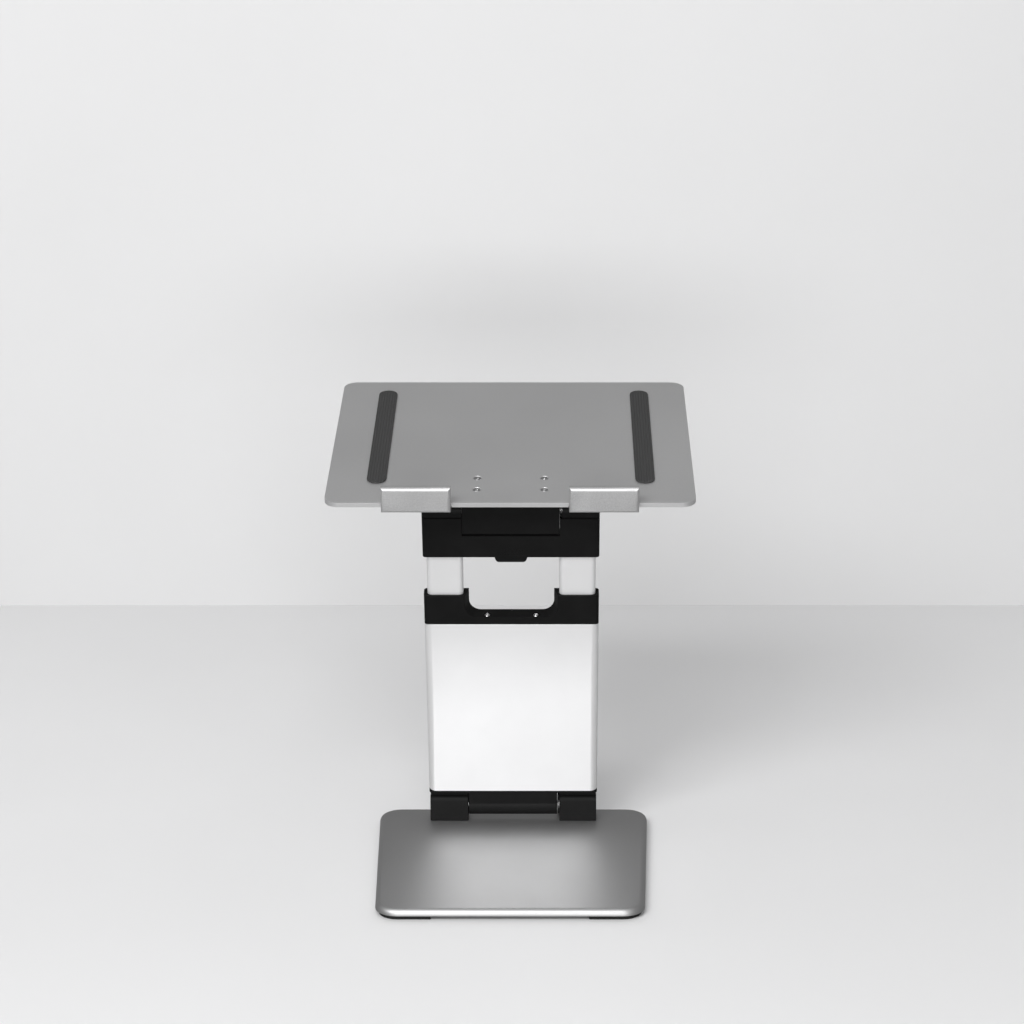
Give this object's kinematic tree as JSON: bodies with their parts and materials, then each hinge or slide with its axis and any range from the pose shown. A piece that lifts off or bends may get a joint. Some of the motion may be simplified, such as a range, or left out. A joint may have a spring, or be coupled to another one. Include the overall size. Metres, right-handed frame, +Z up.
{
  "type": "laptop stand",
  "caption": "Folding laptop stand: flat base plate, leaning telescopic column with a hand notch and release tab, and a tilting tray with front hooks.",
  "frame": {"origin": "middle of the bounding box's underside, on the desk between the feet", "axes": "+Z up, -Y to the front where the user sits and the hooks are, +X to the user's right"},
  "size_m": [0.262, 0.2924, 0.3237],
  "materials": {
    "base_metal": "grey metallic coat on steel, satin, with a fine grain",
    "column_aluminium": "clear anodised extrusion, near white, faint lengthwise lines",
    "tray_aluminium": "bead blasted and anodised sheet, silver",
    "hook_metal": "cast aluminium with a light grey, slightly grainy coat",
    "black_plastic": "moulded glass-filled plastic, fine matt grain",
    "foot_rubber": "black moulded rubber",
    "pad_rubber": "dark grey silicone rubber",
    "bright_steel": "zinc plated steel, bright",
    "dark_steel": "spring steel, oiled and dark"
  },
  "bodies": {
    "base": {"base_plate": "base_metal", "foot_front_left": "foot_rubber", "foot_front_right": "foot_rubber", "foot_rear_left": "foot_rubber", "foot_rear_right": "foot_rubber", "base_bracket_left": "black_plastic", "base_bracket_right": "black_plastic", "bracket_screw_left_1": "bright_steel", "bracket_screw_left_2": "bright_steel", "bracket_screw_right_1": "bright_steel", "bracket_screw_right_2": "bright_steel", "fold_shaft": "bright_steel", "fold_nut": "bright_steel", "fold_washer_inner": "dark_steel", "fold_washer_outer": "dark_steel"},
    "column": {"lower_tube": "column_aluminium", "tube_end_cap": "black_plastic", "collar": "black_plastic", "collar_core": "column_aluminium", "end_cap_screw_left": "bright_steel", "end_cap_screw_right": "bright_steel", "collar_screw_left": "bright_steel", "collar_screw_right": "bright_steel", "lock_strip_left": "bright_steel", "lock_strip_right": "bright_steel"},
    "head": {"head_front_shell": "black_plastic", "head_rear_shell": "black_plastic", "head_screw_1": "bright_steel", "head_screw_2": "bright_steel", "head_screw_3": "bright_steel", "head_screw_4": "bright_steel", "rail_left": "column_aluminium", "rail_right": "column_aluminium", "rail_shoe_left": "black_plastic", "rail_shoe_right": "black_plastic", "tilt_shaft": "bright_steel", "tilt_nut": "bright_steel", "tilt_washer_inner": "dark_steel", "tilt_washer_outer": "dark_steel"},
    "release": {"release_tab": "black_plastic", "release_crossbar": "bright_steel", "return_spring": "bright_steel", "pull_rod_left": "bright_steel", "pull_rod_right": "bright_steel"},
    "lock_left": {"lock_pin_left": "bright_steel"},
    "lock_right": {"lock_pin_right": "bright_steel"},
    "tray": {"tray_plate": "tray_aluminium", "tray_hinge_block": "black_plastic", "tray_screw_left_1": "bright_steel", "tray_screw_left_2": "bright_steel", "tray_screw_right_1": "bright_steel", "tray_screw_right_2": "bright_steel", "front_hook_left": "hook_metal", "front_hook_right": "hook_metal", "hook_pad_left": "pad_rubber", "hook_pad_right": "pad_rubber", "tray_pad_left": "pad_rubber", "tray_pad_right": "pad_rubber", "hook_screw_left": "bright_steel", "hook_screw_right": "bright_steel"}
  },
  "joints": [
    {"name": "base_fold", "type": "hinge", "parent": "base", "child": "column", "pos_m": [0, 0.0311, 0.0194], "axis": [1, 0, 0], "range_deg": [-16, 71]},
    {"name": "height_slide", "type": "slide", "parent": "column", "child": "head", "axis": [0, -0.2706, 0.9627], "range_m": [-0.032, 0.064]},
    {"name": "tray_tilt", "type": "hinge", "parent": "head", "child": "tray", "pos_m": [0, -0.03912, 0.26922], "axis": [1, 0, 0], "range_deg": [-85, 20]},
    {"name": "release_slide", "type": "slide", "parent": "head", "child": "release", "axis": [0, -0.2706, 0.9627], "range_m": [0, 0.0035], "stiffness_N_per_m": 1500, "springref_m": -0.003, "deforming": ["return_spring"]},
    {"name": "lock_left_slide", "type": "slide", "parent": "head", "child": "lock_left", "axis": [-1, 0, 0], "range_m": [0, 0.0035]},
    {"name": "lock_right_slide", "type": "slide", "parent": "head", "child": "lock_right", "axis": [1, 0, 0], "range_m": [0, 0.0035]}
  ],
  "couplings": [
    {"joint": "lock_left_slide", "follows": "release_slide", "ratio": 1},
    {"joint": "lock_right_slide", "follows": "release_slide", "ratio": 1}
  ]
}
